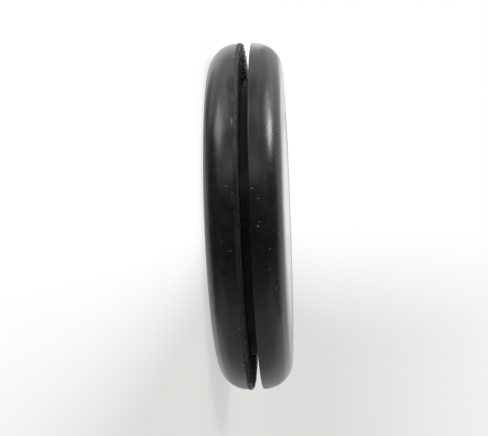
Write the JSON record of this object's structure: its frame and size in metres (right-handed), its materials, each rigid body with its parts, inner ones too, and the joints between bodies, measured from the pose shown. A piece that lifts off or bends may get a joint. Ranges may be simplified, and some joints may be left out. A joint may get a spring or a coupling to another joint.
{
  "type": "closed rubber grommet",
  "caption": "Closed snap-in rubber grommet: two thick round-shouldered flanges with a narrow panel groove between them, one face closed flat, the other hollowed to a thin membrane.",
  "frame": {"origin": "centre of the open face, on the grommet's axis, at the bottom of its box", "axes": "+Z along the grommet's axis, from the open face towards the closed face; it is round, so X and Y are alike"},
  "size_m": [0.05, 0.05, 0.0103],
  "materials": {
    "rubber": "matt moulded black rubber"
  },
  "bodies": {
    "root": {"grommet": "rubber"}
  },
  "joints": []
}
